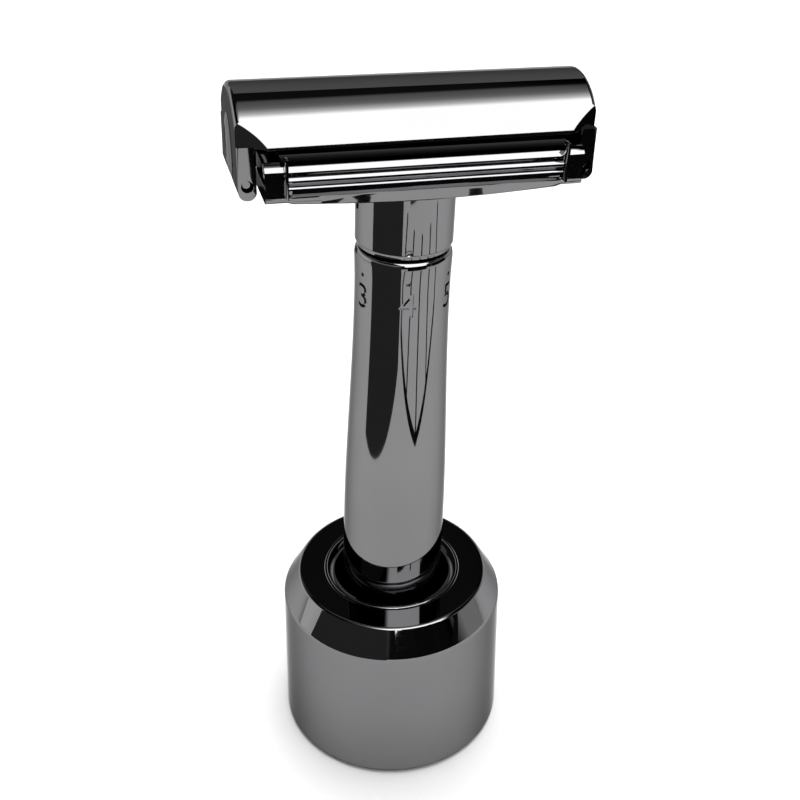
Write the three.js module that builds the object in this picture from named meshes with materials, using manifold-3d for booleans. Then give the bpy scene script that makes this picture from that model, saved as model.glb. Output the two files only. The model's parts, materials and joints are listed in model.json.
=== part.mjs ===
// Adjustable double-edge safety razor standing in a short weighted stand.
// Millimetres, +Z up. Origin: centre of the stand's underside. The head runs along X, its front is -Y.
// The razor group is drawn upright and then leans a little towards +X inside the stand's bore.
import * as THREE from 'three';
import { mergeVertices } from 'three/addons/utils/BufferGeometryUtils.js';
import Module from 'manifold-3d';

const wasm = await Module();
wasm.setup();

// ---------------------------------------------------------------- driving dimensions
const gap = 0.3; // clearance between pieces that touch on the real object

const stand = {
  footRadius: 19.0,
  shoulderRadius: 18.4,
  shoulderHeight: 26.1,
  topRadius: 15.7,
  height: 30.5,
  edge: 0.5,
  floorTop: 6.6,
  pocketRadius: 16.6,
  pocketTop: 3.6,
  boreRadius: 9.7,
};
const lip = { outer: 11.1, inner: 9.4, height: 5.0, funnel: 1.2 };
const lean = THREE.MathUtils.degToRad(1.55);

const barrel = {
  bottom: 8.2,
  top: 89.6,
  baseRadius: 8.2,
  waistRadius: 7.0,
  mouthRadius: 7.1,
  wall: 2.6,
  cavityFloor: 20.0,
};
const collar = { bottom: 90.1, top: 100.0, radius: 7.05, edge: 0.5 };
const guard = {
  halfLength: 21.2,
  halfDepth: 10.9,
  ribHalfLength: 18.4,
  barTop: 106.2,
  barDepth: 1.5,
  barRound: 1.2,
  notch: 0.35,
  floorTop: 103.4,
  edgeBottom: 101.1,
  keelBottom: 100.3,
};
const blade = { halfLength: 21.5, halfWidth: 10.6, thickness: 0.12, crown: 107.38, bend: 0.008 };
const platform = { halfLength: 20.4, halfDepth: 8.3, bottom: 104.9 };
const cap = {
  halfLength: 24.2,
  radius: 8.6,
  centreHeight: 105.0,
  lipHalfDepth: 8.3,
  lipHalfLength: 20.2,
  endHalfDepth: 6.5,
  endBevel: 0.8,
  cheekThickness: 2.4,
  cheekHalfDepth: 7.7,
  cheekTop: 107.6,
  footHeight: 100.6,
  pinHeight: 102.5,
};
const stud = { x: 14.0, radius: 1.4, top: 109.4 };
const spindle = { radius: 1.9, bottom: 66.0, flangeRadius: 3.4, flangeTop: 70.0 };
const guideTube = { bottom: 76.0, top: 98.4, outer: 4.2, inner: 2.3 };
const dial = { count: 6, indexAngle: THREE.MathUtils.degToRad(-9), height: 83.2, depth: 0.35 };
const round = 48; // facets on the large turned pieces
const smallRound = 24; // facets on the small ones

// ---------------------------------------------------------------- finishes
const finishes = {
  blackChrome: { color: 0x4a4b4e, roughness: 0.12, metalness: 1.0 },
  steel: { color: 0xb8babd, roughness: 0.25, metalness: 1.0 },
  springSteel: { color: 0x8d9094, roughness: 0.35, metalness: 1.0 },
  brass: { color: 0xb08d4a, roughness: 0.35, metalness: 1.0 },
  rubber: { color: 0x1b1b1c, roughness: 0.85, metalness: 0.0 },
  felt: { color: 0x2b2b2d, roughness: 0.95, metalness: 0.0 },
};

// ---------------------------------------------------------------- solids and shapes
function solidFrom(geometry) {
  geometry.deleteAttribute('normal');
  geometry.deleteAttribute('uv');
  const merged = mergeVertices(geometry, 1e-4);
  const corners = merged.index.array;
  const triVerts = [];
  for (let i = 0; i < corners.length; i += 3) {
    const [a, b, c] = [corners[i], corners[i + 1], corners[i + 2]];
    if (a !== b && b !== c && c !== a) triVerts.push(a, b, c);
  }
  return new wasm.Manifold(new wasm.Mesh({
    numProp: 3,
    vertProperties: new Float32Array(merged.attributes.position.array),
    triVerts: new Uint32Array(triVerts),
  }));
}

function geometryFrom(solid) {
  const { vertProperties, triVerts } = solid.getMesh();
  const geometry = new THREE.BufferGeometry();
  geometry.setAttribute('position', new THREE.BufferAttribute(vertProperties, 3));
  geometry.setIndex(new THREE.BufferAttribute(triVerts, 1));
  return geometry;
}

// A body of revolution about Z. The profile is [radius, height] from the top, down the outside, to the bottom.
function turned(profile, facets = round) {
  const points = profile.map(([radius, height]) => new THREE.Vector2(radius, height));
  const geometry = new THREE.LatheGeometry(points.reverse(), facets);
  geometry.rotateX(Math.PI / 2);
  return solidFrom(geometry);
}

// A turned ring: the same, with the profile closed on itself.
function turnedRing(profile, facets = round) {
  return turned([...profile, profile[0]], facets);
}

function cylinder(radius, bottom, top, facets = smallRound) {
  return turned([[0, top], [radius, top], [radius, bottom], [0, bottom]], facets);
}

function box(x0, x1, y0, y1, z0, z1) {
  const geometry = new THREE.BoxGeometry(x1 - x0, y1 - y0, z1 - z0);
  geometry.translate((x0 + x1) / 2, (y0 + y1) / 2, (z0 + z1) / 2);
  return solidFrom(geometry);
}

const planBasis = new THREE.Matrix4();
const sideBasis = new THREE.Matrix4().makeBasis(
  new THREE.Vector3(0, 1, 0), new THREE.Vector3(0, 0, 1), new THREE.Vector3(1, 0, 0));
const frontBasis = new THREE.Matrix4().makeBasis(
  new THREE.Vector3(-1, 0, 0), new THREE.Vector3(0, 0, 1), new THREE.Vector3(0, 1, 0));

// An outline extruded from -half to +half along the axis that its basis leaves over.
function prism(outline, half, basis) {
  const shape = new THREE.Shape(outline.map(([u, v]) => new THREE.Vector2(u, v)));
  const geometry = new THREE.ExtrudeGeometry(shape, { depth: 2 * half, bevelEnabled: false });
  geometry.translate(0, 0, -half);
  geometry.applyMatrix4(basis);
  return solidFrom(geometry);
}

// Points of an arc about (cu, cv), angles in degrees.
function arc(cu, cv, radius, from, to, steps) {
  return Array.from({ length: steps + 1 }, (_, i) => {
    const angle = THREE.MathUtils.degToRad(from + (to - from) * i / steps);
    return [cu + radius * Math.cos(angle), cv + radius * Math.sin(angle)];
  });
}

// Heights of the flexed blade's underside, and points along it.
function bladeHeight(y) {
  return blade.crown - blade.bend * y * y;
}

function bladeCurve(from, to, offset, steps = 10) {
  return Array.from({ length: steps + 1 }, (_, i) => {
    const y = from + (to - from) * i / steps;
    return [y, bladeHeight(y) + offset];
  });
}

function both(solid) {
  return solid.add(solid.mirror([1, 0, 0]));
}

// ---------------------------------------------------------------- stand
function standBody() {
  const s = stand;
  const shell = turned([
    [0, s.height], [s.topRadius - 0.3, s.height], [s.topRadius, s.height - 0.2],
    [s.shoulderRadius, s.shoulderHeight], [s.footRadius, gap + s.edge], [s.footRadius - s.edge, gap], [0, gap],
  ]);
  const bore = cylinder(s.boreRadius, s.floorTop, s.height + 1, round);
  const lipSeat = cylinder(lip.outer + gap, s.height - lip.height - gap, s.height + 1, round);
  const pocket = cylinder(s.pocketRadius, -1, s.pocketTop, round);
  const screwHole = cylinder(1.5, s.pocketTop - 0.5, s.floorTop - 0.6);
  return shell.subtract(bore).subtract(lipSeat).subtract(pocket).subtract(screwHole);
}

function boreLip() {
  const top = stand.height;
  return turnedRing([
    [lip.outer - 0.2, top], [lip.outer, top - 0.2], [lip.outer, top - lip.height],
    [lip.inner, top - lip.height],
    ...arc(lip.inner + lip.funnel, top - lip.funnel, lip.funnel, 180, 90, 4),
  ]);
}

function ballastPlate() {
  const disc = cylinder(stand.pocketRadius - gap, 1.3, stand.pocketTop - gap, round);
  const hole = cylinder(1.6, 1, stand.pocketTop);
  const sink = turned([[0, 3], [1.6, 3], [3.3, 1.3], [3.3, 1], [0, 1]], smallRound);
  return disc.subtract(hole).subtract(sink);
}

function baseScrew() {
  const tip = stand.floorTop - 0.9;
  return turned([[0, tip], [0.9, tip], [1.2, tip - 0.4], [1.2, 2.7], [2.3, 1.6], [0, 1.6]], smallRound)
    .subtract(box(-1.5, 1.5, -0.25, 0.25, 1, 1.9));
}

function footPad() {
  const edge = stand.pocketRadius - gap;
  return turned([[0, 1.0], [edge, 1.0], [edge, 0.3], [edge - 0.3, 0], [0, 0]], round);
}

function borePad() {
  return cylinder(stand.boreRadius - gap, stand.floorTop + gap, stand.floorTop + 1.3, round);
}

// ---------------------------------------------------------------- handle barrel
// The handle is widest low down and draws in to a waist below the dial.
function barrelRadius(z) {
  const swell = THREE.MathUtils.smoothstep(z, 40, 84);
  const mouth = THREE.MathUtils.smoothstep(z, 84, barrel.top);
  return THREE.MathUtils.lerp(barrel.baseRadius, barrel.waistRadius, swell)
    + (barrel.mouthRadius - barrel.waistRadius) * mouth;
}

// Digit strokes on a grid 2 wide and 4 high.
const digitStrokes = {
  1: [[0.4, 3.2, 1, 4], [1, 4, 1, 0]],
  2: [[0, 4, 2, 4], [2, 4, 2, 2.4], [2, 2.4, 0, 0], [0, 0, 2, 0]],
  3: [[0, 4, 2, 4], [2, 4, 0.8, 2.4], [0.8, 2.4, 2, 1.6], [2, 1.6, 2, 0], [2, 0, 0, 0]],
  4: [[1.5, 0, 1.5, 4], [1.5, 4, 0, 1.3], [0, 1.3, 2.2, 1.3]],
  5: [[2, 4, 0, 4], [0, 4, 0, 2.4], [0, 2.4, 2, 2], [2, 2, 2, 0], [2, 0, 0, 0]],
  6: [[1.6, 4, 0, 2], [0, 2, 0, 0], [0, 0, 2, 0], [2, 0, 2, 1.9], [2, 1.9, 0, 1.9]],
};

function stroke([x0, z0, x1, z1], scale) {
  const length = Math.hypot(x1 - x0, z1 - z0) * scale;
  const geometry = new THREE.BoxGeometry(length + 0.4, 1.0, 0.4);
  geometry.rotateY(-Math.atan2(z1 - z0, x1 - x0));
  geometry.translate((x0 + x1 - 2) / 2 * scale, 0, (z0 + z1 - 4) / 2 * scale);
  return solidFrom(geometry);
}

// The cutter for one numeral and its dot, on the front of the handle, turned to its place.
function dialCutter(value) {
  const scale = 0.85;
  const strokes = digitStrokes[value].map((line) => stroke(line, scale));
  const dot = cylinder(0.3, -0.5, 0.5, 8).rotate([90, 0, 0]).translate([0, 0, 3.2]);
  const surface = barrelRadius(dial.height) - dial.depth + 0.5;
  const cutter = wasm.Manifold.union([...strokes, dot]).translate([0, -surface, dial.height]);
  const turn = THREE.MathUtils.radToDeg(dial.indexAngle) + (value - 4) * 360 / dial.count;
  return cutter.rotate([0, 0, turn]);
}

function handleBarrel() {
  const b = barrel;
  const steps = 12;
  const outside = Array.from({ length: steps + 1 }, (_, i) => {
    const z = b.top - 0.3 - (b.top - 40) * i / steps;
    return [barrelRadius(z), z];
  });
  const body = turned([
    [0, b.top], [b.mouthRadius - 0.3, b.top], ...outside,
    [b.baseRadius, b.bottom + 1.2], [b.baseRadius - 1.2, b.bottom], [0, b.bottom],
  ]);
  const cavity = cylinder(b.mouthRadius - b.wall, b.cavityFloor, b.top + 1, round);
  const plugSeat = cylinder(5.6, b.bottom - 1, b.bottom + 6, round);
  const numerals = Array.from({ length: dial.count }, (_, i) => dialCutter(i + 1));
  return body.subtract(cavity).subtract(plugSeat).subtract(wasm.Manifold.union(numerals));
}

function adjusterNut() {
  const outer = barrel.mouthRadius - barrel.wall - gap;
  return turnedRing([[outer, 65], [outer, 58], [spindle.radius + gap, 58], [spindle.radius + gap, 65]], smallRound);
}

function endPlug() {
  const z = barrel.bottom;
  return turned([[0, z + 5.6], [5.3, z + 5.6], [5.3, z + 0.4], [4.9, z], [0, z]], round)
    .subtract(box(-3, 3, -0.5, 0.5, z - 1, z + 0.9));
}

// ---------------------------------------------------------------- fixed frame of the razor
function neckCollar() {
  const c = collar;
  const sleeve = turned([
    [0, c.top], [c.radius, c.top], [c.radius, c.bottom + c.edge], [c.radius - 0.25, c.bottom], [0, c.bottom],
  ]);
  const bore = cylinder(guideTube.outer + gap, c.bottom - 1, c.top - 1.2, round);
  const spindleHole = cylinder(spindle.radius + gap, c.top - 2, c.top + 1);
  const indexMark = cylinder(0.4, c.radius - 0.3, c.radius + 1, 12).rotate([90, 0, 0])
    .translate([0, 0, c.bottom + 0.95]).rotate([0, 0, THREE.MathUtils.radToDeg(dial.indexAngle)]);
  return sleeve.subtract(bore).subtract(spindleHole).subtract(indexMark);
}

// The flat-bottomed guide that the spindle slides in; the barrel turns on its rim.
function guideTubeBody() {
  const g = guideTube;
  const groove = g.outer - 0.6;
  return turnedRing([
    [g.outer, g.top], [g.outer, 82.8], [groove, 82.8], [groove, 81.6], [g.outer, 81.6],
    [g.outer, g.bottom + 2.7], [groove, g.bottom + 2.7], [groove, g.bottom + 1.5], [g.outer, g.bottom + 1.5],
    [g.outer, g.bottom], [g.inner, g.bottom], [g.inner, g.top],
  ], smallRound);
}

function retainingRing() {
  const g = guideTube;
  const outer = g.outer + 0.2;
  const inner = g.outer - 0.3;
  const ring = turnedRing([[outer, 82.5], [outer, 81.9], [inner, 81.9], [inner, 82.5]], smallRound);
  return ring.subtract(box(-1, 1, 0, 6, 81, 83));
}

function frictionRing() {
  const outline = arc(guideTube.outer - 0.05, guideTube.bottom + 2.1, 0.25, 90, -270, 8).slice(0, -1);
  return turnedRing(outline, smallRound);
}

function guardFrame() {
  const g = guard;
  const d = g.halfDepth;
  const innerWall = d - g.barDepth;
  const half = [
    [-innerWall, g.floorTop], [-innerWall, g.barTop - 0.1],
    ...arc(g.barRound - d, g.barTop - g.barRound, g.barRound, 90, 180, 5),
    [-d, g.edgeBottom + 0.5], [-d + 0.6, g.edgeBottom], [-8.4, g.keelBottom - 0.2],
  ];
  const section = [...half, ...half.map(([y, z]) => [-y, z]).reverse()];
  const side = prism(section, g.halfLength, sideBasis);
  const keel = prism([
    [-g.halfLength + 0.6, g.edgeBottom - 0.1], [-g.halfLength, g.edgeBottom + 0.5], [-g.halfLength, g.barTop - 0.3],
    [-g.halfLength + 0.3, g.barTop + 0.1], [g.halfLength - 0.3, g.barTop + 0.1],
    [g.halfLength, g.barTop - 0.3], [g.halfLength, g.edgeBottom + 0.5], [g.halfLength - 0.6, g.edgeBottom - 0.1],
    [7, g.keelBottom], [-7, g.keelBottom],
  ].map(([x, z]) => [-x, z]).reverse(), d + 1, frontBasis);
  let frame = side.intersect(keel);
  const grooves = [[104.65, 105.15, 0.9], [103.33, 103.8, 0.8], [102.0, 102.45, 0.5]];
  for (const [low, high, depth] of grooves) {
    for (const front of [-1, 1]) {
      const [y0, y1] = front < 0 ? [-d - 1, -d + depth] : [d - depth, d + 1];
      frame = frame.subtract(box(-g.ribHalfLength, g.ribHalfLength, y0, y1, low, high));
    }
  }
  const endNotch = box(g.ribHalfLength, g.ribHalfLength + g.notch, -d - 1, -d + 1, 102, 110);
  const clipNotch = box(g.halfLength - 1.0, g.halfLength + 1, -3.2, 3.2, 98, 110);
  const spindleHole = cylinder(spindle.radius + gap, 98, 110);
  return frame.subtract(both(endNotch.add(endNotch.mirror([0, 1, 0])))).subtract(both(clipNotch))
    .subtract(spindleHole);
}

// A compression spring between the guide tube and the spindle's flange.
class Helix extends THREE.Curve {
  constructor(radius, bottom, top, turns) {
    super();
    Object.assign(this, { radius, bottom, top, turns });
  }
  getPoint(t, target = new THREE.Vector3()) {
    const angle = t * this.turns * 2 * Math.PI;
    const z = this.bottom + (this.top - this.bottom) * t;
    return target.set(this.radius * Math.cos(angle), this.radius * Math.sin(angle), z);
  }
}

function returnSpring() {
  const turns = 3.5;
  const wire = new THREE.Shape(arc(0, 0, 0.3, 0, 360, 6).slice(0, -1).map(([u, v]) => new THREE.Vector2(u, v)));
  const path = new Helix(2.9, spindle.flangeTop + 1.4, guideTube.bottom - 0.7, turns);
  return solidFrom(new THREE.ExtrudeGeometry(wire, { steps: turns * 14, extrudePath: path }));
}

// ---------------------------------------------------------------- blade platform
function bladePlatform() {
  const p = platform;
  const top = bladeCurve(p.halfDepth, -p.halfDepth, -gap);
  const slab = prism([[-p.halfDepth, p.bottom], [p.halfDepth, p.bottom], ...top], p.halfLength, sideBasis);
  const waist = prism([
    [-p.halfLength - 0.3, -2.4], [p.halfLength + 0.3, -2.4], [p.halfLength + 0.3, 2.4], [-p.halfLength - 0.3, 2.4],
  ], 0.4, planBasis).translate([0, 0, p.bottom + 0.6]);
  const studHole = cylinder(stud.radius + gap, p.bottom - 1, 110).translate([stud.x, 0, 0]);
  const spindleSeat = cylinder(spindle.radius + gap, p.bottom - 1, p.bottom + 1.4);
  return slab.add(waist).subtract(both(studHole)).subtract(spindleSeat);
}

function bladeStud() {
  return turned([
    [0, stud.top], [stud.radius - 0.5, stud.top], [stud.radius, stud.top - 0.7],
    [stud.radius, platform.bottom + 0.1], [0, platform.bottom + 0.1],
  ], smallRound);
}

function spindleRod() {
  const s = spindle;
  return turned([
    [0, platform.bottom + 1.1], [s.radius, platform.bottom + 1.1], [s.radius, s.flangeTop],
    [s.flangeRadius, s.flangeTop], [s.flangeRadius, s.flangeTop - 1.2], [s.radius, s.flangeTop - 1.2],
    [s.radius, 52], [s.radius - 0.5, 51.5], [0, 51.5],
  ], smallRound);
}

// ---------------------------------------------------------------- blade
function razorBlade() {
  const b = blade;
  const section = [
    ...bladeCurve(-b.halfWidth, b.halfWidth, 0),
    ...bladeCurve(b.halfWidth, -b.halfWidth, b.thickness),
  ];
  const sheet = prism(section, b.halfLength, sideBasis);
  const slot = prism([
    [-17.4, -1.0], [-15.6, -1.8], [15.6, -1.8], [17.4, -1.0], [17.4, 1.0], [15.6, 1.8], [-15.6, 1.8], [-17.4, 1.0],
  ], 5, planBasis).translate([0, 0, b.crown]);
  const corner = box(b.halfLength - 2.4, b.halfLength + 1, 8.2, 12, 100, 110);
  const corners = both(corner.add(corner.mirror([0, 1, 0])));
  return sheet.subtract(slot).subtract(corners);
}

// ---------------------------------------------------------------- cap
function topCap() {
  const c = cap;
  const lipAngle = THREE.MathUtils.radToDeg(Math.acos(c.lipHalfDepth / c.radius));
  const vaultSection = [
    ...arc(0, c.centreHeight, c.radius, lipAngle, 180 - lipAngle, 20),
    ...bladeCurve(-c.lipHalfDepth + 0.5, c.lipHalfDepth - 0.5, blade.thickness + gap, 8),
  ];
  const x = c.halfLength;
  const slope = (c.lipHalfDepth - c.endHalfDepth) / (x - c.lipHalfLength);
  const corners = [[x, c.endHalfDepth], [c.lipHalfLength - 1, c.lipHalfDepth + slope]];
  const plan = prism([
    ...corners, ...corners.map(([u, v]) => [-u, v]).reverse(),
    ...corners.map(([u, v]) => [-u, -v]), ...corners.map(([u, v]) => [u, -v]).reverse(),
  ], 12, planBasis).translate([0, 0, c.centreHeight]);
  const crown = c.centreHeight + c.radius + 0.1;
  const bevelled = prism([
    [-x, 90], [x, 90], [x, crown - c.endBevel - 0.6], [x - c.endBevel, crown - 0.1],
    [x - c.endBevel - 0.6, crown], [-x + c.endBevel + 0.6, crown],
    [-x + c.endBevel, crown - 0.1], [-x, crown - c.endBevel - 0.6],
  ].map(([u, v]) => [-u, v]).reverse(), 12, frontBasis);
  const vault = prism(vaultSection, x, sideBasis).intersect(plan).intersect(bevelled);

  const inner = x - c.cheekThickness;
  const footRadius = c.cheekThickness / 2;
  const cheekSection = [
    ...arc(inner + footRadius, c.footHeight + footRadius, footRadius, 180, 360, 8),
    [x, c.cheekTop], [inner, c.cheekTop],
  ].map(([u, v]) => [-u, v]).reverse();
  const root = box(inner, x, -c.endHalfDepth + 0.2, c.endHalfDepth - 0.2, c.cheekTop - 0.5, c.cheekTop + 1);
  const cheek = prism(cheekSection, c.cheekHalfDepth, frontBasis).add(root);
  const dimple = cylinder(3.6, -0.45, 2, smallRound).scale([1.25, 1, 1]).rotate([0, 90, 0])
    .translate([x, 0, 105.3]);
  const pinHole = cylinder(0.8, -10, 10, 16).rotate([90, 0, 0]).translate([x - footRadius, 0, c.pinHeight]);
  const clipPocket = box(inner - 1, inner + 1.1, -2.6, 2.6, 103.3, 107.0);
  const studHole = cylinder(stud.radius + gap, 100, stud.top + 0.6).translate([stud.x, 0, 0]);
  return vault.add(both(cheek)).subtract(both(dimple)).subtract(both(pinHole))
    .subtract(both(clipPocket)).subtract(both(studHole));
}

function clipPin() {
  const x = cap.halfLength - cap.cheekThickness / 2;
  const reach = cap.cheekHalfDepth - 0.8;
  return cylinder(0.5, -reach, reach, 16).rotate([90, 0, 0]).translate([x, 0, cap.pinHeight]);
}

// A leaf spring in the cheek's pocket, with a bump that rides under the platform's end.
function clipSpring() {
  const back = cap.halfLength - cap.cheekThickness + 0.6;
  const line = [[back, 106.7], [back, 105.0], [back - 0.9, 104.5], [back - 0.9, 104.1], [back, 103.7]];
  const outer = line.map(([x, z]) => [x + 0.25, z]);
  return prism([...line, ...outer.reverse()].map(([x, z]) => [-x, z]), 2.2, frontBasis);
}

// ---------------------------------------------------------------- assembly
function piece(name, solid, finish) {
  const mesh = new THREE.Mesh(geometryFrom(solid), new THREE.MeshStandardMaterial(finishes[finish]));
  mesh.name = name;
  return mesh;
}

const razor = new THREE.Group();
razor.add(
  piece('guard_frame', guardFrame(), 'blackChrome'),
  piece('neck_collar', neckCollar(), 'blackChrome'),
  piece('guide_tube', guideTubeBody(), 'brass'),
  piece('retaining_ring', retainingRing(), 'springSteel'),
  piece('friction_ring', frictionRing(), 'rubber'),
  piece('return_spring', returnSpring(), 'springSteel'),
  piece('handle_barrel', handleBarrel(), 'blackChrome'),
  piece('adjuster_nut', adjusterNut(), 'brass'),
  piece('end_plug', endPlug(), 'blackChrome'),
  piece('blade_platform', bladePlatform(), 'blackChrome'),
  piece('spindle', spindleRod(), 'steel'),
  piece('razor_blade', razorBlade(), 'steel'),
  piece('top_cap', topCap(), 'blackChrome'),
);

for (const [side, sign] of [['left', -1], ['right', 1]]) {
  const clip = clipSpring();
  const pin = clipPin();
  razor.add(
    piece(`blade_stud_${side}`, bladeStud().translate([sign * stud.x, 0, 0]), 'steel'),
    piece(`clip_spring_${side}`, sign > 0 ? clip : clip.mirror([1, 0, 0]), 'springSteel'),
    piece(`clip_pin_${side}`, sign > 0 ? pin : pin.mirror([1, 0, 0]), 'steel'),
  );
}

const leaning = new THREE.Group();
leaning.rotation.y = lean;
leaning.position.z = stand.height;
razor.position.z = -stand.height;
leaning.add(razor);

const safetyRazor = new THREE.Group();
safetyRazor.add(
  piece('stand_body', standBody(), 'blackChrome'),
  piece('bore_lip', boreLip(), 'blackChrome'),
  piece('bore_pad', borePad(), 'felt'),
  piece('ballast_plate', ballastPlate(), 'steel'),
  piece('base_screw', baseScrew(), 'steel'),
  piece('foot_pad', footPad(), 'rubber'),
  leaning,
);

export default safetyRazor;
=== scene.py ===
import json
import math

import bpy
from mathutils import Matrix, Vector


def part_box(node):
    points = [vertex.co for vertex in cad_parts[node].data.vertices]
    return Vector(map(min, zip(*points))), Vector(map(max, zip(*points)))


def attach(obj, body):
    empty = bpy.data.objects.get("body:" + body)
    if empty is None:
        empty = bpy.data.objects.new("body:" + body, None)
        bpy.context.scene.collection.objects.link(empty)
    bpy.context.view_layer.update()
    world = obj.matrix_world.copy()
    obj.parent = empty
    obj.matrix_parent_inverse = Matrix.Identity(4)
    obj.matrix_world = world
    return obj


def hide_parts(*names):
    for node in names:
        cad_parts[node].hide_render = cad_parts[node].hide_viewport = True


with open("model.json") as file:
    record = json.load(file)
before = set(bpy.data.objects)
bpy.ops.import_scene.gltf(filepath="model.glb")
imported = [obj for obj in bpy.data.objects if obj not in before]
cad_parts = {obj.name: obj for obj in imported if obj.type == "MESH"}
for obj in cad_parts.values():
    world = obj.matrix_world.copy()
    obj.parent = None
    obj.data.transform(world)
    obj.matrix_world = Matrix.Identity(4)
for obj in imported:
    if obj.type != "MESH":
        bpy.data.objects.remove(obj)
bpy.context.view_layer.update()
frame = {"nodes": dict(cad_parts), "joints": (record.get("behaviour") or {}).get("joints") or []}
mm = 0.001
studio = bpy.context.scene
print("frame loaded")

# the razor's lean in its stand
twistJoint = next(joint for joint in frame["joints"] if joint["name"] == "handle_twist")
leanPivot = Vector(twistJoint["pos_m"])
leanTurn = Vector((0, 0, 1)).rotation_difference(Vector(twistJoint["axis"])).to_matrix().to_4x4()
leanMatrix = Matrix.Translation(leanPivot) @ leanTurn @ Matrix.Translation(-leanPivot)
standUpright = leanMatrix.inverted()


# low and high corner of a razor node with the lean taken out, in millimetres
def uprightBox(node):
    points = [standUpright @ vertex.co for vertex in frame["nodes"][node].data.vertices]
    low = Vector([min(point[i] for point in points) for i in range(3)]) / mm
    high = Vector([max(point[i] for point in points) for i in range(3)]) / mm
    return low, high


# small modelling helpers
def deselectAll():
    if bpy.context.object and bpy.context.object.mode != "OBJECT":
        bpy.ops.object.mode_set(mode="OBJECT")
    bpy.ops.object.select_all(action="DESELECT")


def activate(piece):
    deselectAll()
    piece.select_set(True)
    bpy.context.view_layer.objects.active = piece


def applyPlace(piece):
    activate(piece)
    bpy.ops.object.transform_apply(location=True, rotation=True, scale=True)


def newest(name):
    piece = bpy.context.object
    piece.name = name
    piece.data.name = name
    applyPlace(piece)
    return piece


# face selection by place and normal; leaves the piece in edit mode
def selectFaces(piece, test):
    activate(piece)
    bpy.ops.object.mode_set(mode="EDIT")
    bpy.ops.mesh.select_mode(type="FACE")
    bpy.ops.mesh.select_all(action="DESELECT")
    bpy.ops.object.mode_set(mode="OBJECT")
    for face in piece.data.polygons:
        face.select = test(face.center / mm, face.normal)
    bpy.ops.object.mode_set(mode="EDIT")


def selectVerts(piece, test):
    activate(piece)
    bpy.ops.object.mode_set(mode="EDIT")
    bpy.ops.mesh.select_mode(type="VERT")
    bpy.ops.mesh.select_all(action="DESELECT")
    bpy.ops.object.mode_set(mode="OBJECT")
    for vertex in piece.data.vertices:
        vertex.select = test(vertex.co / mm)
    bpy.ops.object.mode_set(mode="EDIT")


# edges whose two ends pass the test
def selectEdges(piece, test):
    selectVerts(piece, lambda place: False)
    bpy.ops.mesh.select_mode(type="EDGE")
    bpy.ops.object.mode_set(mode="OBJECT")
    vertices = piece.data.vertices
    for edge in piece.data.edges:
        edge.select = test(*[vertices[i].co / mm for i in edge.vertices])
    bpy.ops.object.mode_set(mode="EDIT")


# cuts along a plane; keepBelow throws away what the normal points to and closes the cut
def bisect(piece, place, normal, keepBelow=False):
    activate(piece)
    bpy.ops.object.mode_set(mode="EDIT")
    bpy.ops.mesh.select_all(action="SELECT")
    bpy.ops.mesh.bisect(plane_co=Vector(place) * mm, plane_no=Vector(normal).normalized(),
                        clear_outer=keepBelow, use_fill=keepBelow)
    bpy.ops.object.mode_set(mode="OBJECT")


def cutWith(piece, cutter, operation="DIFFERENCE"):
    activate(piece)
    modifier = piece.modifiers.new("cut", "BOOLEAN")
    modifier.operation = operation
    modifier.object = cutter
    modifier.solver = "EXACT"
    bpy.ops.object.modifier_apply(modifier=modifier.name)
    bpy.data.objects.remove(cutter)


def roundEdges(piece, width, segments=3, angle=30):
    activate(piece)
    modifier = piece.modifiers.new("round", "BEVEL")
    modifier.width = width * mm
    modifier.segments = segments
    modifier.limit_method = "ANGLE"
    modifier.angle_limit = math.radians(angle)
    modifier.harden_normals = False
    bpy.ops.object.modifier_apply(modifier=modifier.name)


def tidyNormals(piece):
    activate(piece)
    bpy.ops.object.mode_set(mode="EDIT")
    bpy.ops.mesh.select_all(action="SELECT")
    bpy.ops.mesh.remove_doubles(threshold=0.002 * mm)
    bpy.ops.mesh.normals_make_consistent(inside=False)
    bpy.ops.object.mode_set(mode="OBJECT")


# smooth shading up to an angle; the larger faces keep their own normals beside a rounded edge
def smooth(piece, angle=35):
    activate(piece)
    bpy.ops.object.shade_smooth_by_angle(angle=math.radians(angle))
    modifier = piece.modifiers.new("flats", "WEIGHTED_NORMAL")
    modifier.mode = "FACE_AREA"
    modifier.weight = 80
    modifier.keep_sharp = True
    bpy.ops.object.modifier_apply(modifier=modifier.name)


# a box between two corners in millimetres
def block(name, low, high):
    deselectAll()
    low, high = Vector(low), Vector(high)
    bpy.ops.mesh.primitive_cube_add(size=1, location=(low + high) / 2 * mm, scale=(high - low) * mm)
    return newest(name)


# a cylinder between two points in millimetres
def rod(name, radius, start, end, facets=48):
    deselectAll()
    start, end = Vector(start), Vector(end)
    turn = (end - start).to_track_quat("Z", "Y").to_euler()
    bpy.ops.mesh.primitive_cylinder_add(vertices=facets, radius=radius * mm, depth=(end - start).length * mm,
                                        location=(start + end) / 2 * mm, rotation=turn)
    return newest(name)


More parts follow.
